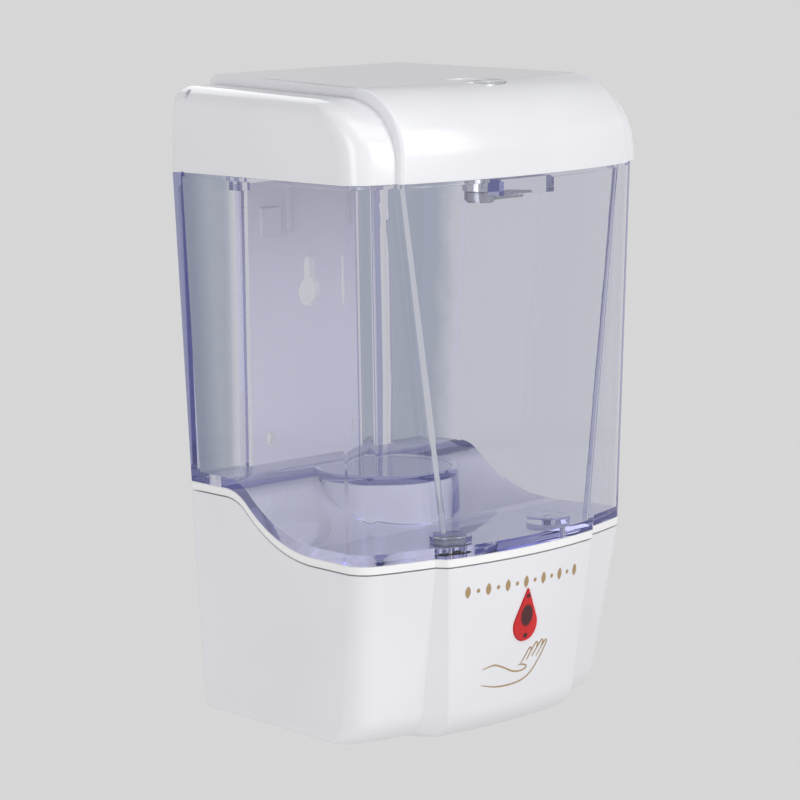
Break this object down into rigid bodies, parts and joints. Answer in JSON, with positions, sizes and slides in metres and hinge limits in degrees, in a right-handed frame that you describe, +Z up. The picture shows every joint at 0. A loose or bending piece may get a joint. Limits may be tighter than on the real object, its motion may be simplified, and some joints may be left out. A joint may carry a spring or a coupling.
{
  "type": "wall mounted soap dispenser",
  "caption": "Touch-free wall-mounted soap dispenser with hinged locking lid, clear tank over an S-shaped seam, and a battery-driven roller pump in the base.",
  "frame": {"origin": "where the hanging screw's axis meets the wall, at the top of the wall plate's keyhole", "axes": "+X to the right seen from the front, +Y into the wall, +Z up"},
  "size_m": [0.1274, 0.1015, 0.2012],
  "materials": {
    "white_gloss": "glossy moulded",
    "plate_white": "satin moulded",
    "clear_blue": "clear, slightly blue, polished",
    "window_red": "translucent red",
    "lens_dark": "infrared-pass dark",
    "lock_metal": "plated",
    "steel": "bright drawn",
    "motor_steel": "pressed and plated",
    "brass": "turned",
    "nickel": "nickel plated",
    "nylon": "natural nylon",
    "grey_plastic": "moulded",
    "black_plastic": "moulded",
    "silicone": "translucent silicone",
    "rubber_black": "moulded rubber",
    "board_green": "solder mask",
    "cell_jacket": "printed jacket without lettering",
    "wire_red": "insulated wire",
    "wire_black": "insulated wire",
    "led_white": "clear epoxy"
  },
  "bodies": {
    "base": {"wall_plate": "plate_white", "base_shell": "white_gloss", "deck_cover": "white_gloss", "tank": "clear_blue", "outlet_seal": "rubber_black", "outlet_strainer": "grey_plastic", "lid_hinge_pins": "steel", "drop_window": "window_red", "battery_bay": "black_plastic", "battery_springs": "nickel", "battery_contacts": "nickel", "battery_door_pin": "steel", "motor_can": "motor_steel", "motor_cap": "black_plastic", "idler_pin": "steel", "gearbox_housing": "grey_plastic", "pump_housing": "grey_plastic", "pump_cover": "grey_plastic", "pump_tube": "silicone", "hose_connectors": "nylon", "inlet_hose": "silicone", "outlet_hose": "silicone", "nozzle": "black_plastic", "nozzle_valve": "silicone", "sensor_lens": "lens_dark", "sensor_module": "black_plastic", "switch_body": "black_plastic", "circuit_board": "board_green", "board_screws": "steel", "board_chips": "black_plastic", "board_sockets": "nylon", "indicator_led": "led_white", "motor_wires": "wire_red", "battery_wires": "wire_black", "sensor_wires": "wire_black", "pump_screws": "steel", "tank_screw": "steel", "battery_cell_1": "cell_jacket", "battery_cell_2": "cell_jacket", "battery_cell_3": "cell_jacket", "battery_cell_4": "cell_jacket"},
    "lid": {"lid": "white_gloss"},
    "lock": {"lock_barrel": "lock_metal", "lock_cam": "steel", "lock_clip": "steel"},
    "door": {"battery_door": "white_gloss"},
    "switch": {"switch_slider": "black_plastic"},
    "rotor": {"pump_rotor": "nylon", "roller_pins": "steel", "output_gear": "nylon"},
    "idler": {"idler_gear": "nylon"},
    "motor_rotor": {"motor_pinion": "brass", "motor_shaft": "steel"},
    "roller_1": {"pump_roller_1": "nylon"},
    "roller_2": {"pump_roller_2": "nylon"},
    "roller_3": {"pump_roller_3": "nylon"}
  },
  "joints": [
    {"name": "lid_hinge", "type": "hinge", "parent": "base", "child": "lid", "pos_m": [0, -0.0065, 0.0568], "axis": [-1, 0, 0], "range_deg": [0, 90]},
    {"name": "lock_turn", "type": "hinge", "parent": "lid", "child": "lock", "pos_m": [0, -0.077, 0.0262], "axis": [0, 0, -1], "range_deg": [0, 90]},
    {"name": "battery_door_hinge", "type": "hinge", "parent": "base", "child": "door", "pos_m": [0, -0.0122, -0.1368], "axis": [1, 0, 0], "range_deg": [0, 100]},
    {"name": "power_switch_slide", "type": "slide", "parent": "base", "child": "switch", "axis": [1, 0, 0], "range_m": [0, 0.004]},
    {"name": "rotor_spin", "type": "hinge", "parent": "base", "child": "rotor", "pos_m": [0, -0.036, -0.1088], "axis": [0, 0, 1], "continuous": true},
    {"name": "idler_spin", "type": "hinge", "parent": "base", "child": "idler", "pos_m": [0, -0.05, -0.1008], "axis": [0, 0, 1], "continuous": true},
    {"name": "motor_spin", "type": "hinge", "parent": "base", "child": "motor_rotor", "pos_m": [0, -0.036, -0.0968], "axis": [0, 0, 1], "continuous": true},
    {"name": "roller_1_spin", "type": "hinge", "parent": "rotor", "child": "roller_1", "pos_m": [0, -0.0253, -0.1108], "axis": [0, 0, 1], "continuous": true},
    {"name": "roller_2_spin", "type": "hinge", "parent": "rotor", "child": "roller_2", "pos_m": [-0.00927, -0.04135, -0.1108], "axis": [0, 0, 1], "continuous": true},
    {"name": "roller_3_spin", "type": "hinge", "parent": "rotor", "child": "roller_3", "pos_m": [0.00927, -0.04135, -0.1108], "axis": [0, 0, 1], "continuous": true}
  ],
  "couplings": [
    {"joint": "idler_spin", "follows": "motor_spin", "ratio": -0.33333},
    {"joint": "rotor_spin", "follows": "motor_spin", "ratio": 0.11111},
    {"joint": "roller_1_spin", "follows": "motor_spin", "ratio": -0.35556},
    {"joint": "roller_2_spin", "follows": "motor_spin", "ratio": -0.35556},
    {"joint": "roller_3_spin", "follows": "motor_spin", "ratio": -0.35556}
  ]
}
